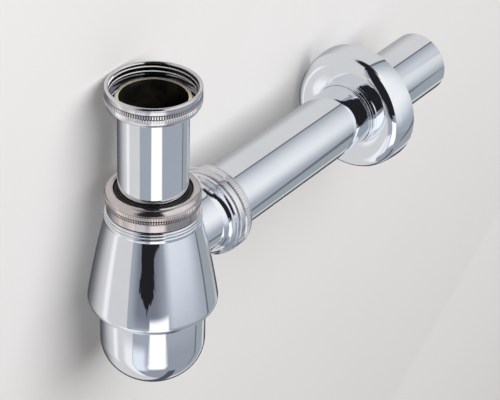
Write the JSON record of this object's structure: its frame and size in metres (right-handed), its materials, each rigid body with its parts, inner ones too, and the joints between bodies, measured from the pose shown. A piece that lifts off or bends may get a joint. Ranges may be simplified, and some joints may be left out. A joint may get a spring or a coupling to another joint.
{
  "type": "bottle trap",
  "caption": "Chromed bottle trap for a wash basin: telescopic inlet, bell body, unscrewing cup, wall outlet tube and sliding wall flange.",
  "frame": {"origin": "the inlet seat: the top of the inlet tube's lip, on the tube's axis", "axes": "+Z along the inlet axis, up to the basin; +Y along the outlet tube, to the wall; +X across"},
  "size_m": [0.0634, 0.2527, 0.1547],
  "materials": {
    "chrome": "polished",
    "nut_chrome": "polished, knurled, slightly warmer than the tubes",
    "brass": "bare, turned",
    "rubber": "black, satin",
    "nylon": "black, smooth"
  },
  "bodies": {
    "inlet": {"inlet_tube": "chrome", "inlet_collar": "chrome"},
    "inlet_nut": {"inlet_nut": "nut_chrome"},
    "inlet_seal": {"inlet_seal": "rubber"},
    "trap_body": {"neck_fitting": "chrome", "dip_tube": "brass", "body_shell": "chrome", "cup_socket": "brass", "outlet_branch": "chrome", "outlet_fitting": "chrome", "outlet_seal": "rubber"},
    "inlet_slip_ring": {"inlet_slip_ring": "nylon"},
    "body_nut": {"body_nut": "nut_chrome"},
    "cup_seal": {"cup_seal": "rubber"},
    "cup": {"cup": "chrome"},
    "outlet_slip_ring": {"outlet_slip_ring": "nylon"},
    "outlet_nut": {"outlet_nut": "nut_chrome"},
    "outlet_tube": {"outlet_tube": "chrome"},
    "wall_flange": {"wall_flange": "chrome"}
  },
  "joints": [
    {"name": "inlet_nut_spin", "type": "hinge", "parent": "inlet", "child": "inlet_nut", "pos_m": [0, 0, 0], "axis": [0, 0, 1], "continuous": true},
    {"name": "height_slide", "type": "slide", "parent": "inlet", "child": "inlet_seal", "axis": [0, 0, 1], "range_m": [-0.03, 0.033]},
    {"name": "body_swivel", "type": "hinge", "parent": "inlet_seal", "child": "trap_body", "pos_m": [0, 0, 0], "axis": [0, 0, 1], "continuous": true},
    {"name": "body_nut_lift", "type": "slide", "parent": "trap_body", "child": "inlet_slip_ring", "axis": [0, 0, 1], "range_m": [0, 0.0075]},
    {"name": "body_nut_turn", "type": "hinge", "parent": "inlet_slip_ring", "child": "body_nut", "pos_m": [0, 0, 0], "axis": [0, 0, 1], "range_deg": [0, 1800]},
    {"name": "cup_drop", "type": "slide", "parent": "trap_body", "child": "cup_seal", "axis": [0, 0, -1], "range_m": [0, 0.008]},
    {"name": "cup_turn", "type": "hinge", "parent": "cup_seal", "child": "cup", "pos_m": [0, 0, 0], "axis": [0, 0, -1], "range_deg": [0, 1440]},
    {"name": "outlet_nut_back", "type": "slide", "parent": "trap_body", "child": "outlet_slip_ring", "axis": [0, 1, 0], "range_m": [0, 0.0045]},
    {"name": "outlet_nut_turn", "type": "hinge", "parent": "outlet_slip_ring", "child": "outlet_nut", "pos_m": [0, 0, -0.08], "axis": [0, 1, 0], "range_deg": [0, 1080]},
    {"name": "outlet_tube_slide", "type": "slide", "parent": "trap_body", "child": "outlet_tube", "axis": [0, 1, 0], "range_m": [0, 0.006]},
    {"name": "flange_slide", "type": "slide", "parent": "outlet_tube", "child": "wall_flange", "axis": [0, 1, 0], "range_m": [-0.09, 0.045]}
  ],
  "couplings": [
    {"joint": "body_nut_lift", "follows": "body_nut_turn", "m_per_rad": 0.00023873},
    {"joint": "cup_drop", "follows": "cup_turn", "m_per_rad": 0.0003183},
    {"joint": "outlet_nut_back", "follows": "outlet_nut_turn", "m_per_rad": 0.00023873}
  ]
}
